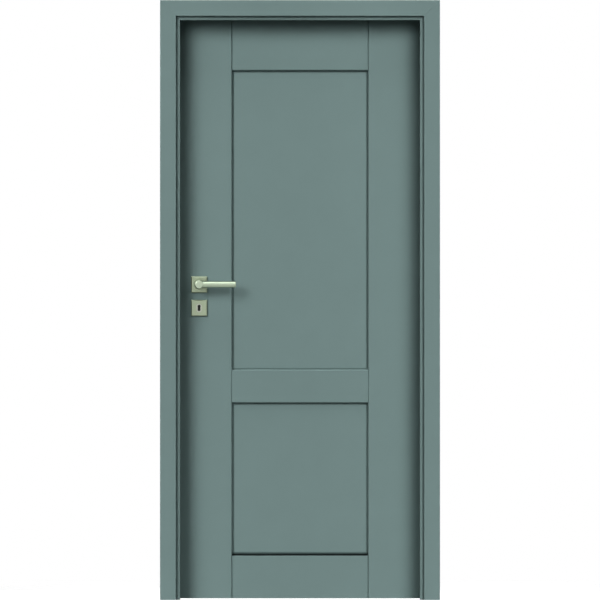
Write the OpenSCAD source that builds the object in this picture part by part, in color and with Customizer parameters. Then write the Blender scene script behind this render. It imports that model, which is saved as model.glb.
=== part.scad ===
// Interior door set: a rebated stile-and-rail leaf hung in an adjustable lining with casings.
// Millimetres, +Z up. The origin is on the floor, midway across the clear opening and midway
// through the depth of the whole set. The push side faces -Y. The hinges are at +X on the far side.
// Depths named ..._d count from the front casings' face towards +Y, until placed() centres them.

/* [Opening] */
// Clear width between the side linings
clear_w = 816; // [640:1:1000]
// Clear height under the head lining
clear_h = 1972; // [1850:1:2300]
// Thickness of the wall that the casings clamp
wall_t = 100; // [98:1:112]

/* [Frame] */
// Face width of a front casing
casing_w = 54.5; // [45:0.5:80]
// Thickness of the casings
casing_t = 12; // [10:0.5:18]
// Round on a casing's outer edge
casing_outer_r = 3; // [1:0.5:5]
// Round on a casing's inner edge
casing_inner_r = 1.5; // [1:0.5:6]
// Strip of lining edge left showing inside the front casings
lip_w = 13.5; // [10:0.5:14]
// Thickness of the lining boards
lining_t = 22; // [20:0.5:28]
// Ease on the lining's front edge
lining_edge_r = 1.5; // [0.5:0.5:3]
// Room left for adjustment between the lining and the front casing's back
adjust_gap = 2; // [1:0.5:10]
// Width of the relief on a front casing's back, beside its tongue
relief_w = 4.6; // [3:0.2:8]
// Depth of that relief
relief_deep = 0.8; // [0.4:0.1:1.5]
// Thickness of the casing's tongue
tongue_t = 4.4; // [3:0.2:5]
// Length of the casing's tongue
tongue_len = 25; // [18:1:30]
// Width of the rebate step that the leaf shuts into
rebate_w = 12; // [10:0.5:15]
// Thickness of the rebate casing's leg behind the rebate wall
leg_w = 24; // [22:0.5:30]
// Thickness of the glued tongue between rebate casing and lining
glue_tongue_t = 4; // [3:0.5:6]
// Length of the glued tongue
glue_tongue_len = 10; // [6:1:14]
// Width of the kerf that holds the seal's stem
kerf_w = 3; // [2:0.5:4]
// Depth of that kerf
kerf_deep = 8; // [5:1:10]
// Length of a corner bracket's arm
bracket_len = 60; // [50:1:90]
// Width of a corner bracket
bracket_w = 20; // [16:1:30]
// Thickness of a corner bracket
bracket_t = 2; // [1.5:0.5:4]
// Length of a mitre spline across the joint
spline_len = 30; // [20:1:36]
// Thickness of a mitre spline
spline_t = 4; // [3:0.5:5]
// Radius of the wall fixing holes
fixing_r = 3.25; // [2.5:0.25:4.5]
// Height of the lower wall fixings above the floor
fixing_low = 450; // [200:5:600]
// Height of the upper wall fixings above the floor
fixing_high = 1550; // [1200:5:1650]

/* [Leaf] */
// Thickness of the leaf
leaf_t = 40; // [38:0.5:50]
// Thickness of the lip that laps over the frame
lip_t = 15; // [13:0.5:18]
// Width of that lip beyond the rebated part
lip_over = 13; // [10:0.5:15]
// Gap between the leaf's rebated edge and the rebate wall
edge_gap = 3; // [2:0.5:5]
// Gap between the lip and the rebate casing's face
lip_gap = 1.5; // [1:0.25:3]
// Gap between the stop and the leaf, which the seal fills
seal_gap = 4.5; // [3.5:0.5:7]
// Gap between the leaf and the floor
floor_gap = 4; // [3:0.5:12]
// Width of a stile, measured on the push side from the rebated edge
stile_w = 185; // [170:1:200]
// Height of the top rail below the rebated top edge
top_rail_h = 179; // [140:1:220]
// Height of the middle rail
mid_rail_h = 112; // [90:1:160]
// Height of the bottom rail
bottom_rail_h = 145; // [120:1:250]
// Height of the lower panel's opening
lower_panel_h = 521; // [400:1:560]
// Thickness of the panels
panel_t = 12; // [11:1:22]
// Width of the shadow groove round a panel's face
quirk_w = 5; // [2:0.5:6]
// Depth of that groove
quirk_deep = 2.5; // [1:0.5:4]
// Height of the deeper gap under the lower panel's face
foot_gap_h = 3; // [2:0.5:6]
// Radius by which the lower panel's face rolls back into that gap
foot_roll_r = 16; // [14:1:30]
// Height over which it rolls back
foot_roll_h = 12; // [6:0.5:13]
// Depth of the grooves that hold the panels
groove_deep = 12; // [8:1:16]
// Chamfer on stile edges and on the edges round the panels
arris = 2.5; // [0.5:0.5:4]
// Chamfer on the middle rail's ends
mid_arris = 0.5; // [0.5:0.5:4]
// Width of the shadow gap between a stile and the end of an outer rail
joint_gap = 2.5; // [1:0.5:4]
// Depth of that gap
joint_gap_deep = 5; // [2:0.5:8]
// Distance of the stub tenons from the leaf's top and bottom
haunch = 20; // [10:1:30]
// Radius of the dowels
dowel_r = 5; // [4:0.5:7]
// Length of the dowels
dowel_len = 100; // [60:1:120]
// Distance of the dowels from a rail's edges
dowel_inset = 34; // [26:1:36]

/* [Lock] */
// Height of the lever's axis above the floor
lever_h = 1073; // [1000:1:1100]
// Distance from the forend's face to the lever's axis
backset = 73.5; // [70:0.5:90]
// Distance from the lever's axis down to the key's
key_drop = 80; // [72:1:92]
// Length of the forend
forend_len = 235; // [225:1:250]
// Width of the forend
forend_w = 20; // [18:0.5:22]
// Thickness of the forend
forend_t = 3; // [2:0.5:4]
// Distance from the lever's axis down to the forend's lower end
forend_drop = 155; // [150:1:160]
// Room in the lock case behind the lever's axis
case_behind = 32; // [30:1:36]
// Thickness of the lock case
case_t = 15; // [14:0.5:18]
// Thickness of the lock case's walls and of its cover
case_wall = 1.2; // [1:0.1:2]
// Distance from the lever's axis up to the lock case's top
case_up = 55; // [50:1:65]
// Distance from the key's axis down to the lock case's bottom
case_down = 40; // [36:1:45]
// Distance from the lever's axis up to the latch bolt
latch_up = 27; // [25:0.5:30]
// Height of the latch bolt's head
latch_h = 30; // [24:1:32]
// Thickness of the latch bolt's head
latch_t = 11; // [8:0.5:12]
// How far the latch bolt stands out
latch_out = 12; // [10:0.5:14]
// Height of the dead bolt
bolt_h = 30; // [24:1:32]
// Thickness of the dead bolt's head
bolt_t = 9; // [7:0.5:10]
// Distance from the key's axis up to the dead bolt
bolt_up = 10; // [9:0.5:13]
// How far the dead bolt is thrown
bolt_throw = 14; // [10:1:16]
// Radius of the follower's disc
follower_r = 11; // [10:0.5:12]
// Radius of the follower's journals
journal_r = 9; // [8:0.5:9.5]
// Reach of the follower's two arms
arm_reach = 17; // [16:0.5:18]
// Side of the square spindle
spindle_w = 8; // [7:0.5:9]
// Length of the strike plate
strike_len = 170; // [160:1:200]
// Width of the strike plate
strike_w = 20; // [16:1:24]
// Thickness of the strike plate
strike_t = 2; // [1.5:0.5:3]

/* [Handle] */
// Side of the square rosettes
rosette_w = 55.5; // [48:0.5:60]
// Thickness of the rosettes
rosette_t = 9; // [7:0.5:12]
// Chamfer round a rosette's face
rosette_bevel = 2.8; // [1:0.1:4]
// Wall of the rosettes' covers
cover_wall = 1.2; // [0.8:0.1:2]
// Radius of the turned recess in a lever rosette
recess_r = 21.5; // [18:0.5:23]
// Depth of that recess
recess_deep = 0.8; // [0.3:0.1:1]
// Diameter of the lever's neck
neck_d = 30; // [24:0.5:32]
// Diameter of the lever's bar
bar_d = 22.5; // [16:0.5:24]
// Length of the lever from its axis to its end
lever_len = 126; // [100:1:150]
// Distance from the leaf's face to the bar's axis
lever_stand = 48; // [42:0.5:60]
// Distance from the bar's axis forward to the neck's flat front
neck_front = 12.5; // [12:0.5:20]
// Round on the neck's front edge
neck_front_r = 4; // [1:0.5:8]
// Round on the bar's end
bar_end_r = 3; // [1:0.5:6]
// Distance between the two bolts of a rosette
rosette_bolts = 38; // [36:0.5:40]
// Width of the keyhole insert
insert_w = 19; // [16:0.5:21]
// Height of the keyhole insert
insert_h = 29; // [26:0.5:32]
// How far the keyhole insert stands out of its rosette
insert_proud = 0.5; // [0.2:0.1:1.5]
// Radius of the keyhole's round top
keyhole_r = 5; // [3.5:0.1:5.5]
// Radius of the keyhole's round foot
keyhole_foot_r = 4.7; // [3.3:0.1:5]
// Width of the keyhole's slot
keyhole_slot = 8.4; // [5:0.1:9]
// Height of the keyhole
keyhole_h = 21.5; // [17:0.5:22]

/* [Hinges] */
// Diameter of a hinge's knuckles
knuckle_d = 15; // [13:0.5:20]
// Height of one knuckle
knuckle_h = 39; // [30:1:50]
// Gap between a knuckle and the leaf's edge
knuckle_gap = 1; // [0.5:0.25:3]
// Radius of the hinge pins
pin_r = 3.5; // [2.5:0.25:4.5]
// Radius of the hinges' studs
stud_r = 3.5; // [2.5:0.25:4]
// Depth of the studs in the wood
stud_deep = 24; // [18:1:30]
// Thickness of the washer between two knuckles
washer_t = 2; // [1:0.5:3]
// Distance from the leaf's top down to the upper hinge's middle
hinge_from_top = 253; // [180:1:300]
// Distance from the leaf's foot up to the lower hinge's middle
hinge_from_foot = 300; // [180:1:350]

/* [Fits] */
// Radial running clearance of hinge pins and journals
run_fit = 0.05; // [0.02:0.01:0.1]
// Clearance of glued and pushed-in pieces, each side
glue_fit = 0.15; // [0.05:0.05:0.3]
// Play of panels and tenons at the bottom of their grooves
panel_play = 0.5; // [0.3:0.1:1]
// Clearance round sliding bolts, each side
slide_fit = 0.3; // [0.2:0.05:0.5]
// Radial clearance of screws and bolts in through holes
bolt_fit = 0.3; // [0.1:0.05:0.5]

/* [Hidden] */
$fn = 48;

// Small overlap that lets one cut run clean through a face
cut = 1;

// Frame: distance s counts outwards from the clear opening's edge, along X or up
half_w = clear_w / 2;
frame_s = lip_w + casing_w;
frame_d = 2 * casing_t + wall_t;
wall_back_d = casing_t + wall_t;
lining_front_d = casing_t + adjust_gap;
tongue_s = lip_w + (lining_t - lip_w - tongue_t) / 2;
leg_s = rebate_w + leg_w;
glue_tongue_s = rebate_w + 2;
kerf_s = rebate_w / 2;

// Leaf: its depths, half widths and heights
lip_d = frame_d + lip_gap;
near_d = lip_d - (leaf_t - lip_t);
far_d = near_d + leaf_t;
mid_d = near_d + leaf_t / 2;
stop_d = near_d - seal_gap;
near_half = half_w + rebate_w - edge_gap;
lip_half = near_half + lip_over;
near_top = clear_h + rebate_w - edge_gap;
lip_top = near_top + lip_over;
panel_half = near_half - stile_w;
bottom_rail_top = floor_gap + bottom_rail_h;
mid_rail_foot = bottom_rail_top + lower_panel_h;
mid_rail_top = mid_rail_foot + mid_rail_h;
top_rail_foot = near_top - top_rail_h;
tongue_half_w = panel_half + groove_deep - panel_play;

// Handle and lock: depths, places and heights
reach = lever_stand + neck_front;
overall_d = far_d + reach;
cover_d = near_d - rosette_t;
base_t = rosette_t - cover_wall - recess_deep - 2 * glue_fit;
base_w = rosette_w - 2 * cover_wall - 4 * glue_fit;
base_edge_t = rosette_t - cover_wall - rosette_bevel - 2 * glue_fit;
clamp_t = 2.5;
flange_t = 2;
bush_r = journal_r + 2;
sleeve_r = 3.5;
through_bolt_r = 2;
flange_r = 5;
grub_r = 2.5;
bar_axis_d = near_d - lever_stand;
grub_d = bar_axis_d + 24;
socket_w = spindle_w + 2 * glue_fit;
lock_d = near_d + (leaf_t - lip_t) / 2;
lever_x = backset - near_half;
key_h = lever_h - key_drop;
forend_x = -near_half;
case_x = forend_x + forend_t;
case_end_x = lever_x + case_behind;
case_front_d = lock_d - case_t / 2;
case_back_d = lock_d + case_t / 2;
case_foot = key_h - case_down;
case_top = lever_h + case_up;
latch_mid = lever_h + latch_up;
bolt_foot = key_h + bolt_up;
bolt_mid = bolt_foot + bolt_h / 2;
forend_foot = lever_h - forend_drop;
strike_x = -half_w - rebate_w;
strike_mid = (latch_mid + bolt_mid) / 2;
strike_screw_z = [strike_mid - strike_len / 2 + 11, strike_mid + strike_len / 2 - 11];
pocket_deep = 16;

// Corner brackets
bracket_mid_d = (lining_front_d + tongue_len + stop_d) / 2;
bracket_screw_r = 2;

// Lock works: the arm's tip, the latch's lug and tail, the guide studs
arm_tip_r = 4;
arm_t = 6;
tail_h = 10;
tail_t = 5;
lug_x = lever_x + arm_tip_r + slide_fit;
lug_w = 6;
latch_head_in = 9;
latch_stud_x = lever_x - 30;
bolt_stud_x = lever_x - 26;
stud_small_r = 2;
stud_large_r = 3;
bolt_end_x = lever_x + 17;
talon_w = 10;
talon_h = 12.5;
spring_stop_x = lever_x - arm_tip_r - 22;
detent_x = lever_x - 10;
detent_post_x = lever_x - 44;
cover_screw_places = [
    [case_x + 8, case_foot + 8], [case_end_x - 7, case_foot + 8], [case_end_x - 7, case_top - 7]
];
case_low = [case_x, case_front_d + case_wall, case_foot];
case_high = [case_end_x, case_back_d, case_top];
works_d = [case_front_d + case_wall, case_back_d - case_wall];
forend_screw_z = [forend_foot + 9, forend_foot + forend_len - 9];
forend_screw_len = 25;
forend_screw_r = 2;
forend_head_r = 4;

// Hinges: the axis and the middle of each
hinge_x = lip_half + knuckle_gap + knuckle_d / 2;
hinge_d = lip_d + lip_t / 2 + 0.5;
hinge_mids = [
    floor_gap + hinge_from_foot,
    (floor_gap + hinge_from_foot + lip_top - hinge_from_top) / 2,
    lip_top - hinge_from_top
];
stud_steps = [10, 29];

rail_mids = [
    [floor_gap, bottom_rail_top],
    [mid_rail_foot, mid_rail_top],
    [top_rail_foot, near_top]
];
dowel_heights = [for (r = rail_mids) each [r[0] + dowel_inset, r[1] - dowel_inset]];

PAINT = [0.44, 0.52, 0.51];
CORE = [0.78, 0.69, 0.55];
NICKEL = [0.70, 0.72, 0.66];
STEEL = [0.62, 0.64, 0.66];
SEAL = [0.25, 0.29, 0.29];
NYLON = [0.85, 0.85, 0.82];

// ---------------------------------------------------------------- helpers

// Centres depths on the origin
module placed() {
    translate([0, -overall_d / 2, 0]) children();
}

// A drawing in (x, z), as a solid from depth d0 to depth d1
module through(d0, d1) {
    translate([0, d1, 0]) rotate([90, 0, 0]) linear_extrude(d1 - d0) children();
}

// A cylinder along Y from depth d0 to depth d1
module rod_y(x, z, r, d0, d1) {
    translate([x, d0, z]) rotate([-90, 0, 0]) cylinder(r = r, h = d1 - d0);
}

// A cylinder along X from x0 to x1
module rod_x(x0, x1, d, z, r) {
    translate([x0, d, z]) rotate([0, 90, 0]) cylinder(r = r, h = x1 - x0);
}

// A box from one corner to the other
module span(low, high) {
    translate(low) cube(high - low);
}

module lock_or_hinge(side) {
    if (side < 0) mirror([1, 0, 0]) children();
    else children();
}

// A copy of what stands on the push side, on the far side of the leaf
module far_side() {
    translate([0, 2 * mid_d, 0]) mirror([0, 1, 0]) children();
}

// A board's section with two eased edges at y = 0
module eased_board(w, t, left_r, right_r) {
    translate([left_r, 0]) square([w - left_r - right_r, t]);
    translate([0, left_r]) square([w / 2, t - left_r]);
    translate([w / 2, right_r]) square([w / 2, t - right_r]);
    translate([left_r, left_r]) circle(left_r);
    translate([w - right_r, right_r]) circle(right_r);
}

module stadium(w, h) {
    square([w, h - w], center = true);
    for (z = [-1, 1]) translate([0, z * (h - w) / 2]) circle(w / 2);
}

// A countersunk screw, its head's face at z = 0 and its point down
module countersunk(r, len, head_r) {
    difference() {
        union() {
            translate([0, 0, r - head_r]) cylinder(r1 = r, r2 = head_r, h = head_r - r);
            translate([0, 0, -len + 2]) cylinder(r = r, h = len - 2);
            translate([0, 0, -len]) cylinder(r1 = 0.4, r2 = r, h = 2);
        }
        for (turn = [0, 90]) {
            rotate([0, 0, turn]) span([-r, -0.5, -1], [r, 0.5, cut]);
        }
    }
}

// The hole for that screw, countersunk at z = 0
module countersunk_hole(r, len, head_r, fit) {
    translate([0, 0, -len]) cylinder(r = r + fit, h = len + cut);
    translate([0, 0, r - head_r - fit]) cylinder(r1 = r, r2 = head_r + fit, h = head_r - r + fit);
    translate([0, 0, 0]) cylinder(r = head_r + fit, h = cut);
}

// A helical spring along +Z from z = 0, of round wire
module coil(r, wire_r, len, turns) {
    steps = 12;
    sides = 6;
    rings = turns * steps;
    points = [for (i = [0 : rings])
        let (a = 360 * i / steps, z = wire_r + (len - 2 * wire_r) * i / rings)
        for (k = [0 : sides - 1])
            let (b = 360 * k / sides, out = r + wire_r * cos(b))
            [out * cos(a), out * sin(a), z + wire_r * sin(b)]];
    walls = [for (i = [0 : rings - 1], k = [0 : sides - 1])
        let (n = (k + 1) % sides)
        each [
            [i * sides + k, (i + 1) * sides + k, (i + 1) * sides + n],
            [i * sides + k, (i + 1) * sides + n, i * sides + n]
        ]];
    first = [[for (k = [0 : sides - 1]) k]];
    last = [[for (k = [0 : sides - 1]) rings * sides + sides - 1 - k]];
    polyhedron(points, concat(walls, first, last), convexity = 8);
}

// ---------------------------------------------------------------- frame sections, in (s, d)

module lining_section() {
    difference() {
        translate([0, lining_front_d])
            eased_board(lining_t, stop_d - lining_front_d, lining_edge_r, 0.5);
        translate([tongue_s - glue_fit, lining_front_d - cut])
            square([tongue_t + 2 * glue_fit, tongue_len - adjust_gap + 2 + cut]);
        translate([glue_tongue_s - glue_fit, stop_d - glue_tongue_len - glue_fit])
            square([glue_tongue_t + 2 * glue_fit, glue_tongue_len + glue_fit + cut]);
        translate([kerf_s - kerf_w / 2, stop_d - kerf_deep]) square([kerf_w, kerf_deep + cut]);
    }
}

module front_casing_section() {
    difference() {
        translate([lip_w, 0]) eased_board(casing_w, casing_t, casing_inner_r, casing_outer_r);
        translate([tongue_s + tongue_t, casing_t - relief_deep]) square([relief_w, relief_deep + cut]);
    }
    translate([tongue_s, casing_t - cut]) square([tongue_t, tongue_len + cut]);
}

module rebate_casing_section() {
    translate([rebate_w, frame_d]) mirror([0, 1])
        eased_board(frame_s - rebate_w, casing_t, 2, casing_outer_r);
    translate([rebate_w, stop_d]) square([leg_w, wall_back_d - stop_d + cut]);
    translate([glue_tongue_s, stop_d - glue_tongue_len]) square([glue_tongue_t, glue_tongue_len + cut]);
}

module seal_section() {
    bulb_r = (seal_gap - slide_fit) / 2;
    translate([kerf_s, stop_d + bulb_r]) circle(bulb_r);
    translate([1, stop_d]) square([rebate_w - 2, 1.2]);
    translate([kerf_s - kerf_w / 2 + glue_fit, stop_d - kerf_deep + 1])
        square([kerf_w - 2 * glue_fit, kerf_deep]);
}

// What lies on the jamb's side of the mitres, seen in (x, z)
module below_mitre() {
    s = frame_s + 10;
    polygon([
        [half_w - 10, 0], [half_w + s, 0], [half_w + s, clear_h + s], [half_w - 10, clear_h - 10]
    ]);
}

module above_mitres() {
    s = frame_s + 10;
    polygon([
        [-half_w + 10, clear_h - 10], [half_w - 10, clear_h - 10],
        [half_w + s, clear_h + s], [-half_w - s, clear_h + s]
    ]);
}

// A section run up one side, mitred at the top
module upright(side) {
    lock_or_hinge(side) intersection() {
        translate([half_w, 0, 0]) linear_extrude(clear_h + frame_s) children();
        through(-10, frame_d + 10) below_mitre();
    }
}

// The same section run across the head, mitred at both ends
module across() {
    run = clear_w + 2 * frame_s;
    intersection() {
        translate([run / 2, 0, clear_h]) rotate([0, -90, 0]) linear_extrude(run) children();
        through(-10, frame_d + 10) above_mitres();
    }
}

// A flat spline across a mitre of the casings, grown by fit
module spline(side, d, fit) {
    s = (lip_w + frame_s) / 2;
    lock_or_hinge(side) translate([half_w + s, d, clear_h + s]) rotate([0, 45, 0])
        cube([spline_len + 2 * fit, spline_t + 2 * fit, spline_len + 2 * fit], center = true);
}

module front_splines(fit) {
    for (side = [-1, 1]) spline(side, casing_t / 2, fit);
}

module back_splines(fit) {
    for (side = [-1, 1]) spline(side, frame_d - casing_t / 2, fit);
}

// Wall fixing holes through the rebate casing's leg, countersunk in the rebate wall
module fixing_holes(side) {
    lock_or_hinge(side) for (z = [fixing_low, fixing_high])
        translate([half_w + rebate_w, stop_d + 8, z]) rotate([0, -90, 0])
            countersunk_hole(fixing_r, leg_w + cut, 2 * fixing_r, 0);
}

// Screw places of the corner brackets: turned so that each screw's head faces out
module at_bracket_screws() {
    outer = half_w + lining_t;
    top = clear_h + lining_t;
    for (side = [-1, 1], along = [0.45, 0.8]) {
        lock_or_hinge(side) {
            translate([outer + bracket_t, bracket_mid_d, top - along * bracket_len])
                rotate([0, 90, 0]) children();
            translate([outer - along * bracket_len, bracket_mid_d, top + bracket_t]) children();
        }
    }
}

// ---------------------------------------------------------------- frame

module lining(side) {
    difference() {
        upright(side) lining_section();
        bracket_pilots();
    }
}

module bracket_pilots() {
    at_bracket_screws() translate([0, 0, -17]) cylinder(r = bracket_screw_r + run_fit, h = 18);
}

module lining_lock_side() color(PAINT) placed() lining(-1);

module lining_hinge_side() color(PAINT) placed() lining(1);

module lining_head() color(PAINT) placed() {
    difference() {
        across() lining_section();
        bracket_pilots();
    }
}

module front_casing(side) {
    difference() {
        upright(side) front_casing_section();
        front_splines(glue_fit);
    }
}

module front_casing_lock_side() color(PAINT) placed() front_casing(-1);

module front_casing_hinge_side() color(PAINT) placed() front_casing(1);

module front_casing_head() color(PAINT) placed() {
    difference() {
        across() front_casing_section();
        front_splines(glue_fit);
    }
}

module rebate_casing_lock_side() color(PAINT) placed() {
    difference() {
        upright(-1) rebate_casing_section();
        back_splines(glue_fit);
        fixing_holes(-1);
        span([strike_x - strike_t, lock_d - strike_w / 2 - glue_fit, strike_mid - strike_len / 2 - glue_fit],
             [strike_x + cut, lock_d + strike_w / 2 + glue_fit, strike_mid + strike_len / 2 + glue_fit]);
        bolt_pockets(strike_x - pocket_deep, strike_x);
        for (z = strike_screw_z) rod_x(strike_x - 21, strike_x, lock_d, z, 2 + run_fit);
    }
}

// Space for the latch bolt and the dead bolt, between two planes across X
module bolt_pockets(x0, x1) {
    grow = 2;
    span([x0, lock_d - latch_t / 2 - grow, latch_mid - latch_h / 2 - grow],
         [x1, lock_d + latch_t / 2 + grow, latch_mid + latch_h / 2 + grow]);
    span([x0, lock_d - bolt_t / 2 - grow, bolt_foot - grow],
         [x1, lock_d + bolt_t / 2 + grow, bolt_foot + bolt_h + grow]);
}

module rebate_casing_hinge_side() color(PAINT) placed() {
    difference() {
        upright(1) rebate_casing_section();
        back_splines(glue_fit);
        fixing_holes(1);
        for (mid = hinge_mids, step = stud_steps)
            rod_y(hinge_x, mid - step, stud_r + run_fit, frame_d - stud_deep - 1, frame_d + cut);
    }
}

module rebate_casing_head() color(PAINT) placed() {
    difference() {
        across() rebate_casing_section();
        back_splines(glue_fit);
    }
}

module rebate_seal() color(SEAL) placed() {
    upright(-1) seal_section();
    upright(1) seal_section();
    across() seal_section();
}

module mitre_splines() color(CORE) placed() {
    front_splines(0);
    back_splines(0);
}

module corner_brackets() color(STEEL) placed() {
    outer = half_w + lining_t;
    top = clear_h + lining_t;
    difference() {
        for (side = [-1, 1]) lock_or_hinge(side) {
            span([outer, bracket_mid_d - bracket_w / 2, top - bracket_len],
                 [outer + bracket_t, bracket_mid_d + bracket_w / 2, top + bracket_t]);
            span([outer - bracket_len, bracket_mid_d - bracket_w / 2, top],
                 [outer + bracket_t, bracket_mid_d + bracket_w / 2, top + bracket_t]);
        }
        at_bracket_screws() countersunk_hole(bracket_screw_r, 5, 4, glue_fit);
    }
}

module bracket_screws() color(STEEL) placed() {
    at_bracket_screws() countersunk(bracket_screw_r, 16, 4);
}

module strike_plate() color(NICKEL) placed() {
    difference() {
        span([strike_x - strike_t, lock_d - strike_w / 2, strike_mid - strike_len / 2],
             [strike_x, lock_d + strike_w / 2, strike_mid + strike_len / 2]);
        bolt_pockets(strike_x - strike_t - cut, strike_x + cut);
        for (z = strike_screw_z) translate([strike_x, lock_d, z]) rotate([0, 90, 0])
            countersunk_hole(2, 5, 4, glue_fit);
    }
}

module strike_screws() color(NICKEL) placed() {
    for (z = strike_screw_z) translate([strike_x, lock_d, z]) rotate([0, 90, 0])
        countersunk(2, 20, 4);
}

// ---------------------------------------------------------------- hinges

// One knuckle from z0 up, with a bore for the pin and a domed end
module knuckle(z0, bore_foot, bore_top, cap_up) {
    cap_h = 2;
    foot = cap_up ? z0 : z0 + cap_h;
    translate([hinge_x, hinge_d, 0]) difference() {
        union() {
            translate([0, 0, foot]) cylinder(r = knuckle_d / 2, h = knuckle_h - cap_h);
            if (cap_up) {
                translate([0, 0, z0 + knuckle_h - cap_h])
                    cylinder(r1 = knuckle_d / 2, r2 = knuckle_d / 2 - cap_h, h = cap_h);
            } else {
                translate([0, 0, z0])
                    cylinder(r1 = knuckle_d / 2 - cap_h, r2 = knuckle_d / 2, h = cap_h);
            }
        }
        translate([0, 0, bore_foot]) cylinder(r = pin_r + run_fit, h = bore_top - bore_foot);
    }
}

module hinge_frame_knuckles() color(NICKEL) placed() {
    for (mid = hinge_mids) {
        knuckle(mid - washer_t / 2 - knuckle_h, mid - 0.85 * knuckle_h, mid, false);
        for (step = stud_steps) difference() {
            rod_y(hinge_x, mid - step, stud_r, frame_d - stud_deep, hinge_d);
            translate([hinge_x, hinge_d, mid - knuckle_h]) cylinder(r = pin_r + 1, h = knuckle_h);
        }
    }
}

module hinge_pins() color(STEEL) placed() {
    for (mid = hinge_mids) translate([hinge_x, hinge_d, mid - 0.85 * knuckle_h])
        cylinder(r = pin_r, h = 1.6 * knuckle_h);
}

module hinge_washers() color(NYLON) placed() {
    for (mid = hinge_mids) translate([hinge_x, hinge_d, mid - washer_t / 2]) difference() {
        cylinder(r = knuckle_d / 2 - 0.5, h = washer_t);
        translate([0, 0, -cut]) cylinder(r = pin_r + run_fit, h = washer_t + 2 * cut);
    }
}

module hinge_leaf_knuckles() color(NICKEL) placed() {
    for (mid = hinge_mids) {
        foot = mid + washer_t / 2 + run_fit;
        knuckle(foot, mid, mid + 0.85 * knuckle_h, true);
        for (step = stud_steps) difference() {
            rod_x(lip_half - stud_deep, hinge_x, hinge_d, mid + step, stud_r);
            translate([hinge_x, hinge_d, mid]) cylinder(r = pin_r + 1, h = knuckle_h);
        }
    }
}

// ---------------------------------------------------------------- leaf

// Section of the hinge-side stile, in (x, d)
module stile_section() {
    difference() {
        union() {
            span2([panel_half, near_d], [near_half, far_d]);
            span2([panel_half, lip_d], [lip_half, far_d]);
        }
        edge_chamfer([panel_half, near_d], arris);
        edge_chamfer([panel_half, far_d], arris);
        edge_chamfer([lip_half, far_d], 1.5);
    }
}

module span2(low, high) {
    translate(low) square(high - low);
}

// A diamond that takes a chamfer of size c off an edge
module edge_chamfer(at, c) {
    translate(at) polygon([[c, 0], [0, c], [-c, 0], [0, -c]]);
}

// Room for the panels and stub tenons in a stile: it stops short of the leaf's ends
module stile_groove() {
    half_t = panel_t / 2 + glue_fit;
    span([panel_half - cut, mid_d - half_t, floor_gap + haunch],
         [panel_half + groove_deep, mid_d + half_t, near_top - haunch]);
}

module stile(side) {
    difference() {
        lock_or_hinge(side) translate([0, 0, floor_gap])
            linear_extrude(lip_top - floor_gap) stile_section();
        lock_or_hinge(side) {
            stile_groove();
            top_rebate();
        }
        dowel_holes();
    }
}

// The rebate along the leaf's top edge
module top_rebate() {
    span([-lip_half - cut, near_d - cut, near_top], [lip_half + cut, lip_d, lip_top + cut]);
}

module at_dowels() {
    for (side = [-1, 1], z = dowel_heights) translate([side * panel_half, mid_d, z])
        rotate([0, 90, 0]) children();
}

module dowel_holes() {
    at_dowels() cylinder(r = dowel_r + glue_fit, h = dowel_len + 2, center = true);
}

// A rail from foot to top, with stub tenons from tenon_foot to tenon_top
module rail(foot, top, tenon_foot, tenon_top, outer, far_top) {
    difference() {
        union() {
            span([-panel_half, near_d, foot], [panel_half, far_d, top]);
            if (far_top > top) {
                span([-panel_half, lip_d, top - cut], [panel_half, far_d, far_top]);
            }
            span([-tongue_half_w, mid_d - panel_t / 2, tenon_foot],
                 [tongue_half_w, mid_d + panel_t / 2, tenon_top]);
        }
        for (side = [-1, 1], d = [near_d, far_d])
            translate([0, 0, foot - cut]) linear_extrude(far_top - foot + 2 * cut)
                rail_end(side * panel_half, d, outer);
        dowel_holes();
    }
}

// What a rail's end loses at one face: a shadow gap on an outer rail, a chamfer on the middle one
module rail_end(x, d, outer) {
    if (outer) {
        translate([x, d]) square([2 * joint_gap, 2 * joint_gap_deep], center = true);
    } else {
        edge_chamfer([x, d], mid_arris);
    }
}

// Takes the panel's groove and the two chamfers out of a rail's edge at z, where up is 1 if the
// panel stands above the rail
module rail_edge(z, up) {
    half_t = panel_t / 2 + glue_fit;
    low = up > 0 ? z - groove_deep : z - cut;
    high = up > 0 ? z + cut : z + groove_deep;
    span([-tongue_half_w - cut, mid_d - half_t, low], [tongue_half_w + cut, mid_d + half_t, high]);
    translate([-panel_half - cut, 0, 0]) rotate([90, 0, 90]) linear_extrude(2 * (panel_half + cut))
        for (d = [near_d, far_d]) edge_chamfer([d, z], arris);
}

module bottom_rail() color(PAINT) placed() difference() {
    rail(floor_gap, bottom_rail_top, floor_gap + haunch + glue_fit,
         bottom_rail_top - groove_deep, true, bottom_rail_top);
    rail_edge(bottom_rail_top, 1);
}

module middle_rail() color(PAINT) placed() difference() {
    rail(mid_rail_foot, mid_rail_top, mid_rail_foot + groove_deep,
         mid_rail_top - groove_deep, false, mid_rail_top);
    rail_edge(mid_rail_foot, -1);
    rail_edge(mid_rail_top, 1);
}

module top_rail() color(PAINT) placed() difference() {
    rail(top_rail_foot, near_top, top_rail_foot + groove_deep,
         near_top - haunch - glue_fit, true, lip_top);
    rail_edge(top_rail_foot, -1);
}

// A flat panel between two rails, held on all sides by grooves, with a shadow groove round each face
module panel(foot, top) {
    held = groove_deep - panel_play;
    difference() {
        span([-tongue_half_w, mid_d - panel_t / 2, foot - held],
             [tongue_half_w, mid_d + panel_t / 2, top + held]);
        for (d = [mid_d - panel_t / 2, mid_d + panel_t / 2])
            through(d - quirk_deep, d + quirk_deep) difference() {
                translate([-panel_half, foot]) square([2 * panel_half, top - foot]);
                translate([quirk_w - panel_half, foot + quirk_w])
                    square([2 * (panel_half - quirk_w), top - foot - 2 * quirk_w]);
            }
    }
}

module upper_panel() color(PAINT) placed() panel(mid_rail_top, top_rail_foot);

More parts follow.
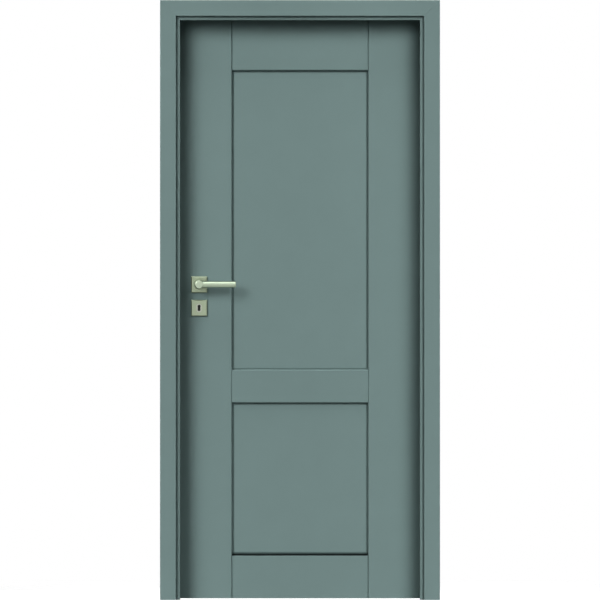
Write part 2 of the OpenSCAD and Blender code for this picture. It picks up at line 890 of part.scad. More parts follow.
module lower_panel() color(PAINT) placed() difference() {
    panel(bottom_rail_top, mid_rail_foot);
    foot_roll();
}

// What the lower panel's push side loses at its foot: a gap, and a roll back into it above
module foot_roll() {
    face = mid_d - panel_t / 2;
    deep = foot_roll_r - sqrt(foot_roll_r * foot_roll_r - foot_roll_h * foot_roll_h);
    roll_top = bottom_rail_top + foot_gap_h + foot_roll_h;
    translate([-panel_half, 0, 0]) rotate([90, 0, 90]) linear_extrude(2 * panel_half) {
        translate([face - cut, bottom_rail_top]) square([deep + cut, foot_gap_h]);
        difference() {
            translate([face - cut, bottom_rail_top + foot_gap_h - cut]) square([deep + cut, foot_roll_h + cut]);
            translate([face + foot_roll_r, roll_top]) circle(foot_roll_r);
        }
    }
}

module rail_dowels() color(CORE) placed() {
    bevel = 1.5;
    at_dowels() {
        cylinder(r = dowel_r, h = dowel_len - 2 * bevel, center = true);
        for (end = [0, 180]) rotate([end, 0, 0]) translate([0, 0, dowel_len / 2 - bevel])
            cylinder(r1 = dowel_r, r2 = dowel_r - bevel, h = bevel);
    }
}

module stile_hinge_side() color(PAINT) placed() difference() {
    stile(1);
    for (mid = hinge_mids, step = stud_steps)
        rod_x(lip_half - stud_deep - 1, lip_half + cut, hinge_d, mid + step, stud_r + run_fit);
}

module stile_lock_side() color(PAINT) placed() difference() {
    stile(-1);
    // Recess for the forend and mortise for the lock case
    span([forend_x - cut, lock_d - forend_w / 2 - glue_fit, forend_foot - glue_fit],
         [case_x, lock_d + forend_w / 2 + glue_fit, forend_foot + forend_len + glue_fit]);
    span([forend_x, case_front_d - glue_fit, case_foot - glue_fit],
         [case_end_x + glue_fit, case_back_d + glue_fit, case_top + glue_fit]);
    for (z = forend_screw_z) rod_x(case_x - cut, forend_x + forend_screw_len + 1, lock_d, z, forend_screw_r + run_fit);
    rod_y(lever_x, lever_h, bush_r, near_d - cut, far_d + cut);
    at_rosette_bolts() rod_y(0, 0, sleeve_r + bolt_fit, near_d - cut, far_d + cut);
    translate([lever_x, 0, key_h]) through(near_d - cut, far_d + cut) stadium(insert_w - 5, insert_h - 3);
}

// ---------------------------------------------------------------- lock

// The four places where sleeves and bolts clamp the rosettes through the stile and the lock
module at_rosette_bolts() {
    for (side = [-1, 1], z = [lever_h, key_h])
        translate([lever_x + side * rosette_bolts / 2, 0, z]) children();
}

// Holes that pass through both of the case's plates
module case_holes() {
    rod_y(lever_x, lever_h, journal_r + run_fit, case_front_d - cut, case_back_d + cut);
    at_rosette_bolts() rod_y(0, 0, sleeve_r + bolt_fit, case_front_d - cut, case_back_d + cut);
    translate([lever_x, 0, key_h])
        through(case_front_d - cut, case_back_d + cut) keyhole(bolt_fit);
}

module lock_case() color(STEEL) placed() {
    difference() {
        union() {
            difference() {
                span(case_low, case_high);
                span([case_low[0] + case_wall, case_low[1] - cut, case_low[2] + case_wall],
                     [case_high[0] - case_wall, works_d[1], case_high[2] - case_wall]);
            }
            for (p = cover_screw_places) rod_y(p[0], p[1], 3.5, works_d[0], works_d[1]);
            rod_y(latch_stud_x, latch_mid, stud_small_r, works_d[0], works_d[1]);
            rod_y(bolt_stud_x, bolt_mid, stud_large_r, works_d[0], works_d[1]);
            // Stop behind the follower's spring
            span([spring_stop_x - 3, lock_d - 4, lever_h - arm_reach - 5],
                 [spring_stop_x, works_d[1], lever_h - arm_reach + 5]);
            // Post that holds the dead bolt's detent spring
            span([detent_post_x - 5, lock_d - 3, bolt_foot + bolt_h + 7],
                 [detent_post_x, works_d[1], bolt_foot + bolt_h + 13]);
        }
        case_holes();
        for (p = cover_screw_places) rod_y(p[0], p[1], 1.5 + run_fit, works_d[0] - cut, works_d[1] - 1);
        latch_window(case_x - cut, case_x + case_wall + cut);
        bolt_window(case_x - cut, case_x + case_wall + cut);
    }
}

// Windows that guide the two bolts through the forend and the case's front wall
module latch_window(x0, x1) {
    span([x0, lock_d - latch_t / 2 - slide_fit, latch_mid - latch_h / 2 - slide_fit],
         [x1, lock_d + latch_t / 2 + slide_fit, latch_mid + latch_h / 2 + slide_fit]);
}

module bolt_window(x0, x1) {
    span([x0, lock_d - bolt_t / 2 - slide_fit, bolt_foot - slide_fit],
         [x1, lock_d + bolt_t / 2 + slide_fit, bolt_foot + bolt_h + slide_fit]);
}

module lock_cover() color(STEEL) placed() difference() {
    span([case_x, case_front_d, case_foot], [case_end_x, case_front_d + case_wall, case_top]);
    case_holes();
    for (p = cover_screw_places) translate([p[0], case_front_d, p[1]]) rotate([90, 0, 0])
        countersunk_hole(1.5, 5, 1.5 + case_wall, glue_fit);
}

module lock_cover_screws() color(STEEL) placed() {
    for (p = cover_screw_places) translate([p[0], case_front_d, p[1]]) rotate([90, 0, 0])
        countersunk(1.5, 10, 1.5 + case_wall);
}

module forend() color(NICKEL) placed() difference() {
    span([forend_x, lock_d - forend_w / 2, forend_foot],
         [case_x, lock_d + forend_w / 2, forend_foot + forend_len]);
    latch_window(forend_x - cut, case_x + cut);
    bolt_window(forend_x - cut, case_x + cut);
    for (z = forend_screw_z) translate([forend_x, lock_d, z]) rotate([0, -90, 0])
        countersunk_hole(forend_screw_r, 5, forend_head_r, glue_fit);
}

module forend_screws() color(NICKEL) placed() {
    for (z = forend_screw_z) translate([forend_x, lock_d, z]) rotate([0, -90, 0])
        countersunk(forend_screw_r, forend_screw_len, forend_head_r);
}

// Nut that the spindle turns: two journals, and an arm each way
module follower() color(STEEL) placed() difference() {
    union() {
        rod_y(lever_x, lever_h, follower_r, works_d[0] + slide_fit, works_d[1] - slide_fit);
        rod_y(lever_x, lever_h, journal_r, case_front_d, case_back_d);
        for (way = [-1, 1]) translate([lever_x, 0, lever_h]) {
            rod_y(0, way * arm_reach, arm_tip_r, lock_d - arm_t / 2, lock_d + arm_t / 2);
            translate([0, lock_d, way * arm_reach / 2])
                cube([2 * arm_tip_r, arm_t, arm_reach], center = true);
        }
    }
    translate([lever_x, lock_d, lever_h])
        cube([socket_w, 2 * case_t, socket_w], center = true);
}

// Slot in a bolt's tail that runs on a guide stud
module guide_slot(x0, x1, z, r) {
    for (x = [x0, x1]) rod_y(x, z, r, lock_d - bolt_t, lock_d + bolt_t);
    span([x0, lock_d - bolt_t, z - r], [x1, lock_d + bolt_t, z + r]);
}

module latch_bolt() color(NICKEL) placed() difference() {
    union() {
        translate([0, 0, latch_mid - latch_h / 2]) linear_extrude(latch_h) latch_head_section();
        span([case_x + latch_head_in - cut, lock_d - tail_t / 2, latch_mid - tail_h / 2],
             [lug_x + lug_w, lock_d + tail_t / 2, latch_mid + tail_h / 2]);
        span([lug_x, lock_d - tail_t / 2, lever_h + arm_reach - arm_tip_r - 1],
             [lug_x + lug_w, lock_d + tail_t / 2, latch_mid]);
    }
    guide_slot(latch_stud_x - latch_out, latch_stud_x, latch_mid, stud_small_r + slide_fit);
}

// The latch's head in (x, d): its slope faces the frame's stop, so that it rides in on shutting
module latch_head_section() {
    tip_x = forend_x - latch_out;
    near = lock_d - latch_t / 2;
    far = lock_d + latch_t / 2;
    polygon([
        [tip_x, far], [tip_x, far - 2.5], [tip_x + 1, far - 4], [forend_x - 1, near],
        [case_x + latch_head_in, near], [case_x + latch_head_in, far]
    ]);
}

module dead_bolt() color(NICKEL) placed() difference() {
    union() {
        span([forend_x, lock_d - bolt_t / 2, bolt_foot],
             [case_x + 18, lock_d + bolt_t / 2, bolt_foot + bolt_h]);
        span([case_x + 17, lock_d - 3, bolt_foot], [bolt_end_x, lock_d + 3, bolt_foot + bolt_h]);
    }
    guide_slot(bolt_stud_x, bolt_stud_x + bolt_throw, bolt_mid, stud_large_r + slide_fit);
    // Talon for the key's bit, and two notches for the detent spring
    span([lever_x + (bolt_throw - talon_w) / 2, lock_d - bolt_t, bolt_foot - cut],
         [lever_x + (bolt_throw + talon_w) / 2, lock_d + bolt_t, bolt_foot + talon_h]);
    for (x = [detent_x, detent_x + bolt_throw])
        translate([x, lock_d, bolt_foot + bolt_h]) rotate([0, 45, 0]) cube([4, 10, 4], center = true);
}

// Bent strip whose nose rests in one of the dead bolt's notches
module bolt_detent_spring() color(STEEL) placed() {
    top = bolt_foot + bolt_h;
    t = 0.8;
    line = [[detent_post_x, top + 8], [detent_x - 6, top + 3], [detent_x, top - 1.5], [detent_x + 5, top + 3]];
    through(lock_d - 2.5, lock_d + 2.5)
        polygon(concat(line, [for (i = [3 : -1 : 0]) [line[i][0], line[i][1] + (i == 2 ? 1.4 : 1) * t]]));
}

// Spring behind the latch's lug
module latch_spring() color(STEEL) placed() {
    foot = lug_x + lug_w;
    translate([foot + 0.1, lock_d, (lever_h + arm_reach - arm_tip_r - 1 + latch_mid + tail_h / 2) / 2])
        rotate([0, 90, 0]) coil(4, 0.5, case_end_x - case_wall - foot - 0.2, 7);
}

// Spring between the stop and the follower's lower arm
module follower_spring() color(STEEL) placed() {
    translate([spring_stop_x + 0.1, lock_d, lever_h - arm_reach]) rotate([0, 90, 0])
        coil(3.4, 0.5, lever_x - arm_tip_r - spring_stop_x - 0.2, 8);
}

// ---------------------------------------------------------------- rosettes, levers

// Plate that the cover snaps over: full width at the leaf, and a boss under the cover's face
module base_plate(z) {
    translate([lever_x, 0, z]) through(near_d - base_edge_t, near_d) square(base_w, center = true);
    rod_y(lever_x, z, base_w / 2 - rosette_bevel - cover_wall, near_d - base_t, near_d - base_edge_t + cut);
}

module rosette_base() {
    difference() {
        base_plate(lever_h);
        rod_y(lever_x, lever_h, bush_r + run_fit, near_d - base_t - cut, near_d + cut);
        base_bolt_holes(lever_h);
    }
}

module base_bolt_holes(z) {
    for (side = [-1, 1]) {
        x = lever_x + side * rosette_bolts / 2;
        rod_y(x, z, sleeve_r + bolt_fit, near_d - base_t - cut, near_d + cut);
        rod_y(x, z, flange_r + bolt_fit, near_d - base_t - cut, near_d - clamp_t);
    }
}

module key_base() {
    difference() {
        base_plate(key_h);
        translate([lever_x, 0, key_h]) through(near_d - base_t - cut, near_d + cut)
            stadium(insert_w + 2 * glue_fit, insert_h + 2 * glue_fit);
        base_bolt_holes(key_h);
    }
}

module bush() {
    difference() {
        rod_y(lever_x, lever_h, bush_r, near_d - base_t, near_d);
        rod_y(lever_x, lever_h, journal_r + run_fit, near_d - base_t - cut, near_d + cut);
    }
}

// Pressed cover: a square cap with chamfered edges, open towards the leaf
module cap(z) {
    inner_w = rosette_w - 2 * cover_wall;
    difference() {
        intersection() {
            translate([lever_x, 0, z]) through(cover_d, near_d) square(rosette_w, center = true);
            chamfer_wedge(z, false);
            chamfer_wedge(z, true);
        }
        translate([lever_x, 0, z]) through(cover_d + cover_wall + rosette_bevel, near_d + cut)
            square(inner_w, center = true);
        translate([lever_x, 0, z]) through(cover_d + cover_wall, near_d)
            square(inner_w - 2 * rosette_bevel, center = true);
    }
}

// A long bar with the cap's chamfered section, run across X or along Z
module chamfer_wedge(z, upright) {
    half = rosette_w / 2;
    translate([lever_x, 0, z]) rotate([0, upright ? 90 : 0, 0]) translate([0, 0, -rosette_w])
        linear_extrude(2 * rosette_w) polygon([
            [-half, near_d], [-half, cover_d + rosette_bevel], [-half + rosette_bevel, cover_d],
            [half - rosette_bevel, cover_d], [half, cover_d + rosette_bevel], [half, near_d]
        ]);
}

module rosette_cover() {
    difference() {
        union() {
            cap(lever_h);
            rod_y(lever_x, lever_h, recess_r + cover_wall, cover_d + cut, cover_d + recess_deep + cover_wall);
        }
        rod_y(lever_x, lever_h, recess_r, cover_d - cut, cover_d + recess_deep);
        rod_y(lever_x, lever_h, journal_r + 1, cover_d - cut, near_d);
    }
}

module key_cover() {
    difference() {
        cap(key_h);
        translate([lever_x, 0, key_h]) through(cover_d - cut, near_d)
            stadium(insert_w + 2 * glue_fit, insert_h + 2 * glue_fit);
    }
}

// Keyhole drawing, centred on the rosette and grown by fit: a slot between two round ends
module keyhole(fit) {
    translate([0, keyhole_h / 2 - keyhole_r]) circle(keyhole_r + fit);
    translate([0, keyhole_foot_r - keyhole_h / 2]) circle(keyhole_foot_r + fit);
    square([keyhole_slot + 2 * fit, keyhole_h - 2 * keyhole_r], center = true);
}

module keyhole_insert() {
    translate([lever_x, 0, key_h]) through(cover_d - insert_proud, near_d) difference() {
        stadium(insert_w, insert_h);
        keyhole(0);
    }
}

module front_rosette_base() color(NYLON) placed() rosette_base();
module back_rosette_base() color(NYLON) placed() far_side() rosette_base();
module front_rosette_cover() color(NICKEL) placed() rosette_cover();
module back_rosette_cover() color(NICKEL) placed() far_side() rosette_cover();
module front_bush() color(NYLON) placed() bush();
module back_bush() color(NYLON) placed() far_side() bush();
module front_key_base() color(NYLON) placed() key_base();
module back_key_base() color(NYLON) placed() far_side() key_base();
module front_key_cover() color(NICKEL) placed() key_cover();
module back_key_cover() color(NICKEL) placed() far_side() key_cover();
module front_keyhole_insert() color(NICKEL) placed() keyhole_insert();
module back_keyhole_insert() color(NICKEL) placed() far_side() keyhole_insert();

// Threaded sleeves, flanged in the front bases
module rosette_sleeves() color(STEEL) placed() {
    flange_d = near_d - clamp_t;
    at_rosette_bolts() difference() {
        union() {
            rod_y(0, 0, sleeve_r, flange_d, mid_d + 8);
            rod_y(0, 0, flange_r, flange_d - flange_t, flange_d);
        }
        rod_y(0, 0, through_bolt_r + run_fit, mid_d - 10, mid_d + 8 + cut);
        rod_y(0, 0, 2.2, flange_d - flange_t - cut, flange_d, $fn = 6);
    }
}

// Bolts from the far side into the sleeves
module rosette_through_bolts() color(STEEL) placed() {
    head_d = far_d + clamp_t;
    at_rosette_bolts() difference() {
        union() {
            rod_y(0, 0, through_bolt_r, mid_d - 8, head_d + cut);
            rod_y(0, 0, flange_r, head_d, head_d + flange_t);
        }
        for (turn = [0, 90]) rotate([0, turn, 0])
            translate([0, head_d + flange_t, 0]) cube([4, 2, 1], center = true);
    }
}

// Lever: a turned neck with a round corner, and a straight round bar towards +X
module lever() {
    socket_d = bar_axis_d + 14;
    difference() {
        translate([lever_x, bar_axis_d, lever_h]) {
            rotate([-90, 0, 0]) rotate_extrude() neck_section();
            rotate([0, 90, 0]) rotate_extrude() bar_section();
        }
        translate([lever_x, (socket_d + near_d + cut) / 2, lever_h])
            cube([socket_w, near_d + cut - socket_d, socket_w], center = true);
        rod_z(lever_x, grub_d, lever_h - neck_d / 2 - cut, lever_h, grub_r + run_fit);
    }
}

// Half of the neck's section in (radius, length from the bar's axis): flat front with a round
// edge, neck, collar over the rosette's recess, and the journal in the bush
module neck_section() {
    r = neck_d / 2;
    collar_r = r + 1.5;
    foot = cover_d + recess_deep - 0.4 - bar_axis_d;
    translate([0, -neck_front]) square([r - neck_front_r, neck_front]);
    translate([0, neck_front_r - neck_front]) square([r, neck_front - neck_front_r]);
    translate([r - neck_front_r, neck_front_r - neck_front]) intersection() {
        circle(neck_front_r);
        translate([0, -neck_front_r]) square(neck_front_r);
    }
    polygon([
        [0, 0], [r, 0], [r, foot - 4], [collar_r, foot - 2], [collar_r, foot],
        [journal_r, foot], [journal_r, lever_stand], [0, lever_stand]
    ]);
}

// Half of the bar's section in (radius, length), with a rounded end
module bar_section() {
    r = bar_d / 2;
    square([r, lever_len - bar_end_r]);
    square([r - bar_end_r, lever_len]);
    translate([r - bar_end_r, lever_len - bar_end_r]) intersection() {
        circle(bar_end_r);
        square(bar_end_r);
    }
}

module rod_z(x, d, z0, z1, r) {
    translate([x, d, z0]) cylinder(r = r, h = z1 - z0);
}

module grub_screw() {
    top = lever_h - spindle_w / 2;
    difference() {
        rod_z(lever_x, grub_d, top - 8, top, grub_r);
        translate([lever_x, grub_d, top - 8 - cut]) cylinder(r = 1.4, h = 3 + cut, $fn = 6);
    }
}

module front_lever() color(NICKEL) placed() lever();
module back_lever() color(NICKEL) placed() far_side() lever();

module spindle() color(STEEL) placed() {
    inset = lever_stand - 15;
    translate([lever_x, mid_d, lever_h]) cube([spindle_w, leaf_t + 2 * inset, spindle_w], center = true);
}

module lever_grub_screws() color(STEEL) placed() {
    grub_screw();
    far_side() grub_screw();
}

lining_lock_side();
lining_hinge_side();
lining_head();
front_casing_lock_side();
front_casing_hinge_side();
front_casing_head();
rebate_casing_lock_side();
rebate_casing_hinge_side();
rebate_casing_head();
rebate_seal();
mitre_splines();
corner_brackets();
bracket_screws();
strike_plate();
strike_screws();
hinge_frame_knuckles();
hinge_pins();
hinge_washers();
hinge_leaf_knuckles();
stile_lock_side();
stile_hinge_side();
top_rail();
middle_rail();
bottom_rail();
upper_panel();
lower_panel();
rail_dowels();
lock_case();
lock_cover();
lock_cover_screws();
forend();
forend_screws();
latch_spring();
follower_spring();
bolt_detent_spring();
front_rosette_base();
back_rosette_base();
front_rosette_cover();
back_rosette_cover();
front_bush();
back_bush();
front_key_base();
back_key_base();
front_key_cover();
back_key_cover();
front_keyhole_insert();
back_keyhole_insert();
rosette_sleeves();
rosette_through_bolts();
front_lever();
back_lever();
spindle();
follower();
lever_grub_screws();
latch_bolt();
dead_bolt();
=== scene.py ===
# %% [markdown]
# # An interior door in its lining
#
# The real thing is a rebated stile-and-rail leaf of painted wood, hung in an adjustable lining
# with mitred casings. It has lever handles on square rosettes, a mortise lock and pin hinges.
# Every solid comes from a finished frame of parts that already has its true sizes and places.
# This lesson dresses that frame: it gives each piece its finish, and builds again those pieces
# whose edges and turned shapes the eye rests on.

# %% Load the frame
import bpy, bmesh, math
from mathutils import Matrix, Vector


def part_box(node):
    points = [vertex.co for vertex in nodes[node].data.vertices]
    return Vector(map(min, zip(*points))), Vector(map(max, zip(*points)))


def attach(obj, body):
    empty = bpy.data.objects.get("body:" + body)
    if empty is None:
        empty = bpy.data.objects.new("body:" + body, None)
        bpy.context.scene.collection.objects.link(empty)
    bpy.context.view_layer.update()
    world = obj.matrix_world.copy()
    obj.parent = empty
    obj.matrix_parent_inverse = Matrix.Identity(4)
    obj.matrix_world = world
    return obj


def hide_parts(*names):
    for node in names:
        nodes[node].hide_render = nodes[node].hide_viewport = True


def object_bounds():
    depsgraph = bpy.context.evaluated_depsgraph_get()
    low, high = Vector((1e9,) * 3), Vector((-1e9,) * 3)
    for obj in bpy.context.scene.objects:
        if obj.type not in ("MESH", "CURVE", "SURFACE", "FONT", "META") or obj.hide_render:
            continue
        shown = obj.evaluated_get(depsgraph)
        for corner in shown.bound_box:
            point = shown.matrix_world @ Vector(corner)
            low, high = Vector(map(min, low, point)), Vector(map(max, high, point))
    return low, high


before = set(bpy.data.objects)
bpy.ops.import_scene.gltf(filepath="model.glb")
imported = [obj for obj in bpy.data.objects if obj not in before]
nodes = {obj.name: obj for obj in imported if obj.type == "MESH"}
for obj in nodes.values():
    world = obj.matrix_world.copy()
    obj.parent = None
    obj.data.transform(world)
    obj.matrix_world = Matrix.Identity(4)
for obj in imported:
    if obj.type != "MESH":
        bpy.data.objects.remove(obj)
cad_low, cad_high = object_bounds()
print("pieces in the frame:", len(nodes))
print("box:", [round(v, 4) for v in cad_low], [round(v, 4) for v in cad_high])

# %% [markdown]
# ## Where the eye stands
#
# A door drawing shows the set squarely from the front, with no side of the reveal in sight. A
# camera near the door would see into the reveal, so it could be switched to a parallel view.
# A very long lens far away does nearly the same, and it keeps the true depth in other views.
# The view is exactly as high as the door set, so the distance follows from the lens.

# %% The camera
LENS = 1000.0
SENSOR = 36.0
FAR_END = 200.0
height = cad_high.z - cad_low.z
distance = height * LENS / SENSOR
casings_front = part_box("front_casing_head")[0].y

eye = bpy.data.cameras.new("eye")
eye.lens, eye.sensor_width = LENS, SENSOR
eye.clip_end = FAR_END
camera = bpy.data.objects.new("eye", eye)
camera.location = (0.0, casings_front - distance, height / 2)
camera.rotation_euler = (math.radians(90), 0.0, 0.0)
bpy.context.scene.collection.objects.link(camera)
bpy.context.scene.camera = camera
bpy.context.scene.view_settings.view_transform = "Standard"
print("camera stands", round(distance, 2), "m away")

# %% [markdown]
# ## Light for a recess
#
# The leaf lies almost nine centimetres behind the casings. What makes that depth readable is the
# soft shade that the lining throws on the leaf, dark beside the lining and gone a hand's breadth
# away. A bright sky all round would wash it out. Two tall softboxes with a grid do better: each
# stands to one side, above the eye, and lights its own half. Their beams meet at the middle of
# the leaf, and a small one fills the gap that they leave on the head casing, further forward.
# A narrow lamp from above and one from the side hardly touch the paint, but they draw bright
# lines on the round metal. The back has the same lamps, so it can be looked at too.

# %% Gridded softboxes
def softbox(name, front, side, tilt, x_span, z_span, share, reach, fan=0.45):
    """A lamp whose beam covers x_span and z_span on the leaf's plane with that share of full light.

    For each metre forward it stands tilt metres to its side and up, and its grid lets light
    spread by fan metres each way. Its middle is reach metres from the leaf's plane.
    """
    towards = Vector((side * tilt[0], -1.0 if front else 1.0, tilt[1])).normalized()
    middle = Vector((side * sum(x_span) / 2, 0.0, sum(z_span) / 2))
    lamp = bpy.data.lights.new(name, "AREA")
    lamp.shape = "RECTANGLE"
    lamp.size = (x_span[1] - x_span[0]) * math.cos(math.atan(tilt[0]))
    lamp.size_y = (z_span[1] - z_span[0]) * math.sqrt(1 - towards.z ** 2)
    lamp.spread = 2 * math.atan(fan)
    lamp.energy = math.pi * share * lamp.size * lamp.size_y / abs(towards.y)
    box = bpy.data.objects.new(name, lamp)
    box.location = middle + towards * reach
    box.rotation_euler = towards.to_track_quat("Z", "Y").to_euler()
    box.visible_camera = False
    bpy.context.scene.collection.objects.link(box)
    print(name, "at", [round(v, 2) for v in box.location], round(lamp.energy, 1), "W")


OVER_EYE = 0.49
FULL_HEIGHT, HIGH_HEIGHT = (-0.6, 3.4), (-0.2, 3.4)
HALF = (-0.014, 1.7)
RIM_REACH = 2.0
for front in (True, False):
    where, reach = ("front", 0.95) if front else ("back", 1.5)
    for side, hand, tilt, share in ((-1, "left", 0.55, 0.888), (1, "right", 0.40, 0.848)):
        softbox(f"{where}_{hand}_softbox", front, side, (tilt, OVER_EYE), HALF, FULL_HEIGHT, share, reach)
    softbox(
        f"{where}_top_softbox", front, 1, tilt=(0.0, 3.0), x_span=(-1.0, 1.0), z_span=HIGH_HEIGHT,
        share=0.11, reach=RIM_REACH, fan=0.3,
    )
    softbox(
        f"{where}_side_softbox", front, 1, tilt=(3.0, 0.8), x_span=(-1.2, 1.2), z_span=FULL_HEIGHT,
        share=0.02, reach=RIM_REACH, fan=0.35,
    )
softbox(
    "front_head_softbox", True, 1, tilt=(0.0, 0.5), x_span=(-0.035, 0.035), z_span=(1.85, 2.6),
    share=1.75, reach=0.95,
)

# %% [markdown]
# ## A white room
#
# The surroundings are plain white. What the camera, metal and glass see of them has a strength of
# one, which is white. What lights the paint from all round is much less, so that the softboxes
# shape the object. The floor is a pale disc that takes the shadow and fades out into that white.

# %% Surroundings
DOME = 0.035


def seen_directly(tree):
    """1 for what the camera, a reflection or glass sees, 0 for what only lights a surface."""
    path = tree.nodes.new("ShaderNodeLightPath")
    either = path.outputs["Is Camera Ray"]
    for ray in ("Is Glossy Ray", "Is Transmission Ray"):
        most = tree.nodes.new("ShaderNodeMath")
        most.operation = "MAXIMUM"
        tree.links.new(either, most.inputs[0])
        tree.links.new(path.outputs[ray], most.inputs[1])
        either = most.outputs[0]
    return either


def ranged(tree, value, low, high, start=0.0, end=1.0, smooth=False):
    """The value, which runs from start to end, turned into one that runs from low to high."""
    node = tree.nodes.new("ShaderNodeMapRange")
    node.interpolation_type = "SMOOTHSTEP" if smooth else "LINEAR"
    ends = {"From Min": start, "From Max": end, "To Min": low, "To Max": high}
    for socket, number in ends.items():
        node.inputs[socket].default_value = number
    tree.links.new(value, node.inputs["Value"])
    return node.outputs[0]


room = bpy.data.worlds.new("white_room")
room.use_nodes = True
sky = room.node_tree.nodes["Background"]
sky.inputs["Color"].default_value = (1.0, 1.0, 1.0, 1.0)
strength = ranged(room.node_tree, seen_directly(room.node_tree), DOME, 1.0)
room.node_tree.links.new(strength, sky.inputs["Strength"])
bpy.context.scene.world = room
print("the room's light from all round:", DOME)

# %% The floor
FLOOR_R, SOLID_R, GONE_R = 7.0, 1.2, 4.0
FLOOR_TONE, FLOOR_GLOW = 0.35, 0.87

ground = bmesh.new()
bmesh.ops.create_circle(ground, cap_ends=True, segments=96, radius=FLOOR_R)
mesh = bpy.data.meshes.new("floor")
ground.to_mesh(mesh)
ground.free()
floor = bpy.data.objects.new("floor", mesh)
bpy.context.scene.collection.objects.link(floor)

pale = bpy.data.materials.new("pale_floor")
pale.use_nodes = True
tree = pale.node_tree
matt = tree.nodes["Principled BSDF"]
matt.inputs["Base Color"].default_value = (FLOOR_TONE, FLOOR_TONE, FLOOR_TONE, 1.0)
matt.inputs["Roughness"].default_value = 0.9
matt.inputs["Specular IOR Level"].default_value = 0.1
matt.inputs["Emission Color"].default_value = (1.0, 1.0, 1.0, 1.0)
tree.links.new(ranged(tree, seen_directly(tree), 0.0, FLOOR_GLOW), matt.inputs["Emission Strength"])
place = tree.nodes.new("ShaderNodeTexCoord")
away = tree.nodes.new("ShaderNodeVectorMath")
away.operation = "LENGTH"
tree.links.new(place.outputs["Object"], away.inputs[0])
clear = tree.nodes.new("ShaderNodeBsdfTransparent")
fade = tree.nodes.new("ShaderNodeMixShader")
faded = ranged(tree, away.outputs["Value"], 0.0, 1.0, start=SOLID_R, end=GONE_R, smooth=True)
tree.links.new(faded, fade.inputs[0])
tree.links.new(matt.outputs[0], fade.inputs[1])
tree.links.new(clear.outputs[0], fade.inputs[2])
tree.links.new(fade.outputs[0], tree.nodes["Material Output"].inputs["Surface"])
mesh.materials.append(pale)
print("floor: a disc of", len(mesh.vertices), "points")

# %% [markdown]
# ## Finishes
#
# Each finish is a small tree of nodes. A pattern drives the colour a little, the gloss a little
# and the height of the surface a very little. The patterns lie in the object's own space, in
# metres, so that they stay on a piece when it moves. The lower panel's paint also carries a
# painted shade at its foot: near black in the narrow gap left above the bottom rail, fading out
# just above it. The levers' nickel is painted brighter than the rosettes', a painted highlight.

# %% Helpers for finishes
def new_finish(name, gloss, metal=0.0, specular=0.5):
    """A material with its tree and its shader, with the values that are the same all over."""
    made = bpy.data.materials.new(name)
    made.use_nodes = True
    shader = made.node_tree.nodes["Principled BSDF"]
    shader.inputs["Roughness"].default_value = gloss
    shader.inputs["Metallic"].default_value = metal
    shader.inputs["Specular IOR Level"].default_value = specular
    return made, made.node_tree, shader


def grain(tree, per_metre, stretch=(1.0, 1.0, 1.0), detail=3.0):
    """A cloudy pattern with so many features to a metre, drawn out along an axis by a small stretch."""
    place = tree.nodes.new("ShaderNodeTexCoord")
    turn = tree.nodes.new("ShaderNodeMapping")
    turn.inputs["Scale"].default_value = stretch
    clouds = tree.nodes.new("ShaderNodeTexNoise")
    clouds.inputs["Scale"].default_value = per_metre
    clouds.inputs["Detail"].default_value = detail
    tree.links.new(place.outputs["Object"], turn.inputs["Vector"])
    tree.links.new(turn.outputs[0], clouds.inputs["Vector"])
    return clouds.outputs["Fac"]


THIN, THICK = 0.3, 0.7


def tinted(tree, shader, pattern, first, second):
    """The base colour, running from first to second as the pattern goes from THIN to THICK."""
    mix = tree.nodes.new("ShaderNodeMix")
    mix.data_type = "RGBA"
    mix.inputs["A"].default_value = (*first, 1.0)
    mix.inputs["B"].default_value = (*second, 1.0)
    tree.links.new(ranged(tree, pattern, 0.0, 1.0, THIN, THICK), mix.inputs["Factor"])
    tree.links.new(mix.outputs["Result"], shader.inputs["Base Color"])


def glossed(tree, shader, pattern, low, high):
    """The roughness, running from low to high in the same way."""
    tree.links.new(ranged(tree, pattern, low, high, THIN, THICK), shader.inputs["Roughness"])


def embossed(tree, shader, pattern, deep):
    """A relief so many metres deep from the pattern."""
    bump = tree.nodes.new("ShaderNodeBump")
    bump.inputs["Distance"].default_value = deep
    bump.inputs["Strength"].default_value = 1.0
    tree.links.new(pattern, bump.inputs["Height"])
    tree.links.new(bump.outputs[0], shader.inputs["Normal"])


def shade(colour, by):
    """The colour made that much brighter or darker."""
    return tuple(c * by for c in colour)


FINISHES = {}

# %% Grey-green paint
GREEN = (0.148, 0.2155, 0.209)


def paint(name):
    """Even grey-green paint with the fine texture that a roller leaves."""
    made, tree, shader = new_finish(name, gloss=0.6, specular=0.08)
    tinted(tree, shader, grain(tree, 9.0), shade(GREEN, 0.985), shade(GREEN, 1.015))
    glossed(tree, shader, grain(tree, 60.0), low=0.55, high=0.65)
    embossed(tree, shader, grain(tree, 900.0, detail=1.0), deep=0.00002)
    return made, tree, shader


FINISHES["paint"] = paint("grey_green_paint")[0]

# %% Paint with a painted shade in the gap under the lower panel
GAP, FADE, EDGE_ON = 0.002, 0.014, 0.001
# Near black: a painted shade for the shadow in the gap, fading out over FADE above it.
GAP_PAINTED_SHADE = (0.008, 0.011, 0.011)
rail_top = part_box("bottom_rail")[1].z
panel_low, panel_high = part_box("lower_panel")
panel_middle = (panel_low.y + panel_high.y) / 2

